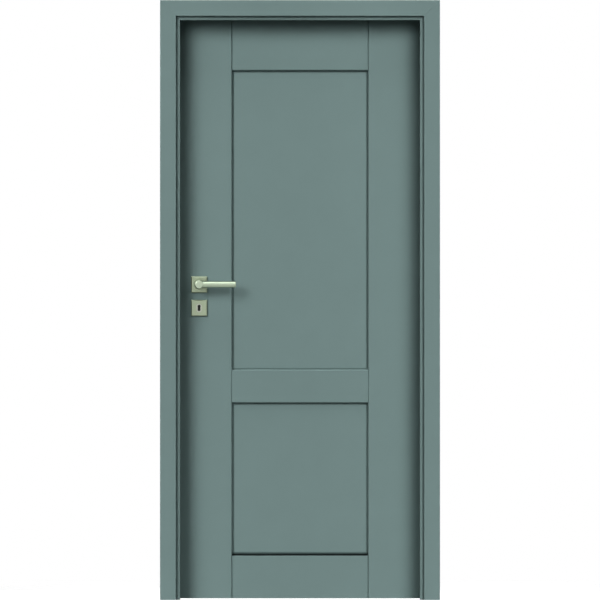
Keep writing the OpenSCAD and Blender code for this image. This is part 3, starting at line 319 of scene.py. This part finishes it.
foot_painted_shade, tree, shader = paint("paint_with_dark_gap")
place = tree.nodes.new("ShaderNodeTexCoord")
split = tree.nodes.new("ShaderNodeSeparateXYZ")
tree.links.new(place.outputs["Object"], split.inputs[0])
above_gap_shade = ranged(
    tree, split.outputs["Z"], 0.0, 1.0, start=rail_top + GAP, end=rail_top + GAP + FADE, smooth=True,
)
far_side = ranged(tree, split.outputs["Y"], 0.0, 1.0, start=panel_middle, end=panel_middle + EDGE_ON)
painted = tree.nodes.new("ShaderNodeMath")
painted.operation = "MAXIMUM"
tree.links.new(above_gap_shade, painted.inputs[0])
tree.links.new(far_side, painted.inputs[1])
gap = tree.nodes.new("ShaderNodeMix")
gap.data_type = "RGBA"
gap.inputs["A"].default_value = (*GAP_PAINTED_SHADE, 1.0)
tree.links.new(painted.outputs[0], gap.inputs["Factor"])
tree.links.new(shader.inputs["Base Color"].links[0].from_socket, gap.inputs["B"])
tree.links.new(gap.outputs["Result"], shader.inputs["Base Color"])
print("the gap's dark band starts at", round(rail_top, 4))

# %% Satin nickel; the levers' copy is painted brighter, a painted highlight, and the keyhole inserts are plainer
NICKELS = {
    "satin_nickel": (0.245, 0.29, 0.205),
    # The levers are the rosettes' satin nickel painted brighter, a painted highlight for the light on the
    # bar.
    "lever_nickel_painted_bright": (0.32, 0.382, 0.286),
    "plain_nickel": (0.30, 0.32, 0.27),
}
for name, colour in NICKELS.items():
    made, tree, shader = new_finish(name, gloss=0.36, metal=1.0)
    tinted(tree, shader, grain(tree, 220.0), shade(colour, 0.97), shade(colour, 1.03))
    glossed(tree, shader, grain(tree, 900.0), low=0.33, high=0.39)
    embossed(tree, shader, grain(tree, 4000.0, detail=1.0), deep=0.000003)
    FINISHES[name] = made

# %% Other metals, drawn out along their height
STEELS = {"nickel_steel": ((0.58, 0.59, 0.54), 0.3), "steel": ((0.50, 0.51, 0.53), 0.36)}
DRAWN, DRAWN_FINE = (1.0, 1.0, 0.15), (1.0, 1.0, 0.05)
for name, (colour, gloss) in STEELS.items():
    made, tree, shader = new_finish(name, gloss, metal=1.0)
    tinted(tree, shader, grain(tree, 180.0, DRAWN), shade(colour, 0.9), shade(colour, 1.04))
    glossed(tree, shader, grain(tree, 500.0, DRAWN_FINE), low=gloss - 0.05, high=gloss + 0.06)
    embossed(tree, shader, grain(tree, 2000.0, DRAWN_FINE), deep=0.000004)
    FINISHES[name] = made

# %% Rubber, plastic and raw wood
made, tree, shader = new_finish("grey_seal", gloss=0.75, specular=0.4)
tinted(tree, shader, grain(tree, 120.0), (0.062, 0.08, 0.08), (0.078, 0.1, 0.1))
glossed(tree, shader, grain(tree, 300.0), low=0.68, high=0.82)
embossed(tree, shader, grain(tree, 1500.0), deep=0.00003)
FINISHES["seal"] = made

made, tree, shader = new_finish("pale_plastic", gloss=0.45)
tinted(tree, shader, grain(tree, 80.0), (0.73, 0.73, 0.70), (0.77, 0.77, 0.74))
glossed(tree, shader, grain(tree, 200.0), low=0.4, high=0.52)
embossed(tree, shader, grain(tree, 1800.0), deep=0.00001)
FINISHES["nylon"] = made

FIBRES = (0.06, 1.0, 1.0)
made, tree, shader = new_finish("raw_beech", gloss=0.6, specular=0.35)
tinted(tree, shader, grain(tree, 260.0, FIBRES, detail=6.0), (0.48, 0.31, 0.18), (0.62, 0.43, 0.26))
glossed(tree, shader, grain(tree, 300.0, FIBRES), low=0.52, high=0.7)
embossed(tree, shader, grain(tree, 900.0, FIBRES), deep=0.00005)
FINISHES["beech"] = made

# %% A painted shade for the inside of the keyhole
made, tree, shader = new_finish("dark_inside", gloss=0.7, specular=0.2)
# Near black: a painted shade standing for the dark inside the lock, seen through the keyhole.
tinted(tree, shader, grain(tree, 300.0), (0.006, 0.007, 0.007), (0.012, 0.013, 0.013))
glossed(tree, shader, grain(tree, 500.0), low=0.6, high=0.8)
embossed(tree, shader, grain(tree, 1500.0), deep=0.00002)
FINISHES["dark_inside"] = made
print("finishes:", sorted(FINISHES))

# %% Finish of every piece in the frame
METALS = (
    "corner_brackets bracket_screws hinge_pins lock_case lock_cover lock_cover_screws latch_spring "
    "follower_spring bolt_detent_spring rosette_sleeves rosette_through_bolts spindle follower "
    "lever_grub_screws"
).split()
PLATED = (
    "hinge_frame_knuckles hinge_leaf_knuckles strike_plate strike_screws forend forend_screws "
    "latch_bolt dead_bolt"
).split()
HANDLE = (
    "front_lever back_lever front_rosette_cover back_rosette_cover front_key_cover back_key_cover "
    "front_keyhole_insert back_keyhole_insert"
).split()
PLASTIC = (
    "hinge_washers front_bush back_bush front_rosette_base back_rosette_base front_key_base back_key_base"
).split()
finish_of = {n: "paint" for n in nodes}
finish_of.update({n: "steel" for n in METALS})
finish_of.update({n: "nickel_steel" for n in PLATED})
finish_of.update({n: "satin_nickel" for n in HANDLE})
finish_of.update({n: "nylon" for n in PLASTIC})
finish_of.update({"rebate_seal": "seal", "mitre_splines": "beech", "rail_dowels": "beech"})
for name, piece in nodes.items():
    for slot in piece.material_slots:
        slot.material = FINISHES[finish_of[name]]
    if not piece.material_slots:
        piece.data.materials.append(FINISHES[finish_of[name]])
# The lower panel takes the paint with the painted shade at its foot.
nodes["lower_panel"].material_slots[0].material = foot_painted_shade
print("painted pieces:", sum(v == "paint" for v in finish_of.values()))

# %% [markdown]
# ## Easing the joinery's edges
#
# No painted edge is as sharp as a drawn line: sanding breaks it, and the paint rounds it further.
# The frame's boards keep their shape, so modifiers do this. Weld joins their loose triangles,
# Decimate melts flat triangles into whole faces, and Bevel rounds what is still an edge.

# %% Eased edges
JOINED = 0.00001
FLAT_BELOW, EDGE_ABOVE = math.radians(1.0), math.radians(31.0)
BOARD_EDGE, PLATE_EDGE = 0.0006, 0.0003


def eased(piece, radius):
    """Rounds the edges of one of the frame's own pieces."""
    weld = piece.modifiers.new("weld", "WELD")
    weld.merge_threshold = JOINED
    flat = piece.modifiers.new("flat faces", "DECIMATE")
    flat.decimate_type, flat.angle_limit = "DISSOLVE", FLAT_BELOW
    edge = piece.modifiers.new("eased edges", "BEVEL")
    edge.width, edge.segments = radius, 2
    edge.limit_method, edge.angle_limit = "ANGLE", EDGE_ABOVE
    edge.use_clamp_overlap = True
    edge.harden_normals = True


BOARDS = [n for n in nodes if finish_of[n] == "paint"]
PLATES = ["strike_plate", "forend", "latch_bolt", "dead_bolt"]
for names, radius in ((BOARDS, BOARD_EDGE), (PLATES, PLATE_EDGE)):
    for name in names:
        eased(nodes[name], radius)
print("eased pieces:", len(BOARDS) + len(PLATES))

# %% [markdown]
# ## Making a piece from rings
#
# A pressed cover or a milled plate is a few outlines, one behind another. The first ring is a
# plain circle of 48 points, and each remembers its own turn in an attribute. Every extrusion
# hands that turn on, so the new points know their place on a square, a long round or a keyhole,
# and all walls come out as clean four-sided faces.

# %% Outlines
POINTS = 48
STEP = 2 * math.pi / POINTS
SAME_POINT = 1e-7


def round_outline(radius):
    """A circle."""
    return lambda turn: (radius * math.cos(turn), radius * math.sin(turn))


def square_outline(half):
    """A square whose sides lie half away from its middle."""
    def outline(turn):
        reach = half / max(abs(math.cos(turn)), abs(math.sin(turn)))
        return reach * math.cos(turn), reach * math.sin(turn)
    return outline


def two_arcs(top_radius, foot_radius, waist, height):
    """A round top and a round foot, joined by straight sides that are waist wide."""
    def outline(turn):
        if abs(math.sin(turn)) < STEP / 2:
            return math.copysign(waist / 2, math.cos(turn)), (foot_radius - top_radius) / 2
        radius, way = (top_radius, 1) if turn > 0 else (foot_radius, -1)
        past = math.acos(min(waist / 2 / radius, 1.0))
        swing = (abs(turn) - STEP) / (math.pi - 2 * STEP) * (math.pi + 2 * past) - past
        return radius * math.cos(swing), way * (height / 2 - radius + radius * math.sin(swing))
    return outline


# %% Drawing a piece out ring by ring
def drawn(rings, hollow=False):
    """A mesh through rings of (outline, depth); a hollow piece's last ring joins its first."""
    shape = bmesh.new()
    turn = shape.verts.layers.float.new("turn")
    points = bmesh.ops.create_circle(shape, segments=POINTS, radius=1.0)["verts"]
    for point in points:
        point[turn] = math.atan2(point.co.y, point.co.x)
    edges = shape.edges[:]
    caps = [edges]
    for i, (outline, depth) in enumerate(rings + rings[:1] if hollow else rings):
        if i:
            made = bmesh.ops.extrude_edge_only(shape, edges=edges)["geom"]
            points = [new for new in made if isinstance(new, bmesh.types.BMVert)]
            edges = [new for new in made if isinstance(new, bmesh.types.BMEdge)]
            edges = [edge for edge in edges if set(edge.verts) <= set(points)]
        for point in points:
            x, z = outline(point[turn])
            point.co = Vector((x, depth, z))
    caps.append(edges)
    if hollow:
        bmesh.ops.remove_doubles(shape, verts=shape.verts[:], dist=SAME_POINT)
    else:
        for cap in caps:
            bmesh.ops.edgeloop_fill(shape, edges=cap)
    return shape


# %% Bevelling, placing and handing over
BREAK_ABOVE, SMOOTH_BELOW = math.radians(30.0), math.radians(35.0)


def break_edges(shape, offset):
    """Bevels every edge whose two faces meet at more than BREAK_ABOVE."""
    bmesh.ops.recalc_face_normals(shape, faces=shape.faces[:])
    sharp = [e for e in shape.edges if len(e.link_faces) == 2 and e.calc_face_angle(0.0) > BREAK_ABOVE]
    bmesh.ops.bevel(
        shape, geom=sharp, offset=offset, offset_type="OFFSET", affect="EDGES",
        segments=2, profile=0.5, material=-1, clamp_overlap=True,
    )


def to_far_side(shape, middle_y):
    """Turns a piece of the push side into the same piece on the pull side."""
    bmesh.ops.scale(shape, vec=(1.0, -1.0, 1.0), verts=shape.verts[:])
    bmesh.ops.translate(shape, vec=(0.0, 2 * middle_y, 0.0), verts=shape.verts[:])


def handed_over(name, shape, body, finish):
    """Makes the piece an object that rides on its body and stands for the node of the same name."""
    bmesh.ops.recalc_face_normals(shape, faces=shape.faces[:])
    mesh = bpy.data.meshes.new(name + "_visual")
    shape.to_mesh(mesh)
    shape.free()
    mesh.shade_smooth()
    mesh.set_sharp_from_angle(angle=SMOOTH_BELOW)
    mesh.materials.append(finish)
    piece = bpy.data.objects.new(name + "_visual", mesh)
    bpy.context.scene.collection.objects.link(piece)
    weighted = piece.modifiers.new("flat faces shade flat", "WEIGHTED_NORMAL")
    weighted.keep_sharp = True
    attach(piece, body)
    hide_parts(name)
    print(name, "has", len(mesh.polygons), "faces")
    return piece


leaf_middle = (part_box("stile_lock_side")[0].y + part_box("stile_lock_side")[1].y) / 2
print("the leaf's middle plane lies at", round(leaf_middle, 4))

# %% [markdown]
# ## Lever handles
#
# A neck is turned from bar, with a flat front and a round edge. The bar that the hand holds is a
# plain round rod that meets it square, with its end a little rounded. Both are spun from half a
# section, as on a lathe. The neck's foot has a small collar that covers the hole in the rosette.

# %% The lever
def turned(shape, section, axis, centre):
    """Spins a half section of (radius, length) points round an axis through centre."""
    across = Vector((0.0, 0.0, 1.0))
    points = [shape.verts.new(centre + across * r + axis * length) for r, length in section]
    edges = [shape.edges.new(pair) for pair in zip(points, points[1:])]
    bmesh.ops.spin(
        shape, geom=points + edges, cent=centre, axis=axis, angle=2 * math.pi, steps=64,
        use_merge=True, use_normal_flip=False, use_duplicate=False,
    )
    bmesh.ops.remove_doubles(shape, verts=shape.verts[:], dist=SAME_POINT)


def arc(radius, middle, start, end, steps):
    """Points of (radius, length) on an arc round middle."""
    turns = [math.radians(start + (end - start) * i / steps) for i in range(steps + 1)]
    return [(max(middle[0] + radius * math.cos(t), 0.0), middle[1] + radius * math.sin(t)) for t in turns]


BAR_R, BAR_END_R = 0.01125, 0.003
NECK_R, NECK_FRONT, NECK_EDGE_R = 0.015, 0.0125, 0.004
COLLAR_OVER, COLLAR_H, COLLAR_PLAY = 0.0015, 0.004, 0.0004
JOURNAL_R = 0.009

lever_low, lever_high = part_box("front_lever")
rosette_low, rosette_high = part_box("front_rosette_cover")
rosette_middle = (rosette_low + rosette_high) / 2
bar_y = lever_low.y + NECK_FRONT
centre = Vector((rosette_middle.x, bar_y, rosette_middle.z))
back_end = lever_high.y - bar_y
foot = rosette_low.y + COLLAR_PLAY - bar_y
length = lever_high.x - centre.x

neck = [(0.0, -NECK_FRONT)]
neck += arc(NECK_EDGE_R, (NECK_R - NECK_EDGE_R, NECK_EDGE_R - NECK_FRONT), -90, 0, steps=8)
neck += [(NECK_R, foot - COLLAR_H)]
neck += arc(COLLAR_OVER, (NECK_R, foot - COLLAR_OVER), -90, 0, steps=4)[1:]
neck += [(NECK_R + COLLAR_OVER, foot), (JOURNAL_R, foot), (JOURNAL_R, back_end), (0.0, back_end)]
bar = [(0.0, 0.0), (BAR_R, 0.0)]
bar += arc(BAR_END_R, (BAR_R - BAR_END_R, length - BAR_END_R), 0, 90, steps=6) + [(0.0, length)]
for name in ("front_lever", "back_lever"):
    shape = bmesh.new()
    turned(shape, neck, Vector((0.0, 1.0, 0.0)), centre)
    turned(shape, bar, Vector((1.0, 0.0, 0.0)), centre)
    if name == "back_lever":
        to_far_side(shape, leaf_middle)
    # The levers take the nickel painted brighter, a painted highlight.
    handed_over(name, shape, "handle", FINISHES["lever_nickel_painted_bright"])

# %% [markdown]
# ## Rosettes
#
# A rosette's cover is pressed from thin sheet and snaps over a hidden base. Its face is flat, with
# a chamfer on all four sides, and the lever's has a shallow turned recess round the collar. The
# key's has a milled insert that stands a little proud and is cut out for the key. The keyhole is
# closed a little short of the back, and its walls and floor are painted near black, a painted
# shade for the dark inside the lock.

# %% Covers
WALL, CHAMFER, COVER_EDGE = 0.0012, 0.0028, 0.00025
RECESS_R, RECESS = 0.0215, 0.0008
HOLE_R = JOURNAL_R + 0.001
INSERT_PLAY = 0.00015


def cover(name, hole):
    """A hollow square cover whose face is open where hole says; a lever's cover has a recess too."""
    low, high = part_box("front_" + name)
    half, face, back = (high.x - low.x) / 2, low.y, high.y
    rings = [
        (square_outline(half), back),
        (square_outline(half), face + CHAMFER),
        (square_outline(half - CHAMFER), face),
    ]
    inner = face
    if name == "rosette_cover":
        inner = face + RECESS
        rings += [(round_outline(RECESS_R), face), (round_outline(RECESS_R), inner)]
    rings += [(hole, inner), (hole, inner + WALL)]
    rings += [(square_outline(half - WALL), face + CHAMFER), (square_outline(half - WALL), back)]
    shape = drawn(rings, hollow=True)
    break_edges(shape, COVER_EDGE)
    middle = (low + high) / 2
    bmesh.ops.translate(shape, vec=(middle.x, 0.0, middle.z), verts=shape.verts[:])
    return shape


insert_low, insert_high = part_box("front_keyhole_insert")
insert_w, _, insert_h = insert_high - insert_low
hole_w, hole_h = insert_w + 2 * INSERT_PLAY, insert_h + 2 * INSERT_PLAY
insert_hole = two_arcs(hole_w / 2, hole_w / 2, hole_w, hole_h)
for side in ("front_", "back_"):
    for name, hole in (("rosette_cover", round_outline(HOLE_R)), ("key_cover", insert_hole)):
        shape = cover(name, hole)
        if side == "back_":
            to_far_side(shape, leaf_middle)
        handed_over(side + name, shape, "leaf", FINISHES["satin_nickel"])

# %% Keyhole inserts
INSERT_EDGE, SHADE_SHEET_T = 0.0003, 0.0012
SHADE_HALF_W, SHADE_HALF_H, SHADE_FROM, SHADE_TO = 0.0052, 0.0110, 0.0005, 0.0002
OUTSIDE = two_arcs(insert_w / 2, insert_w / 2, insert_w, insert_h)
KEYHOLE = two_arcs(0.0050, 0.0047, waist=0.0084, height=0.0215)

front, back = insert_low.y, insert_high.y
for name in ("front_keyhole_insert", "back_keyhole_insert"):
    # The keyhole is closed by a floor short of the back; its walls and floor take a near-black painted
    # shade.
    shape = drawn([(OUTSIDE, back), (OUTSIDE, front), (KEYHOLE, front), (KEYHOLE, back - SHADE_SHEET_T)])
    break_edges(shape, INSERT_EDGE)
    for face in shape.faces:
        middle = face.calc_center_median()
        in_keyhole = abs(middle.x) < SHADE_HALF_W and abs(middle.z) < SHADE_HALF_H
        face.material_index = int(in_keyhole and front + SHADE_FROM < middle.y < back - SHADE_TO)
    centre = (insert_low + insert_high) / 2
    bmesh.ops.translate(shape, vec=(centre.x, 0.0, centre.z), verts=shape.verts[:])
    if name.startswith("back"):
        to_far_side(shape, leaf_middle)
    piece = handed_over(name, shape, "leaf", FINISHES["plain_nickel"])
    piece.data.materials.append(FINISHES["dark_inside"])
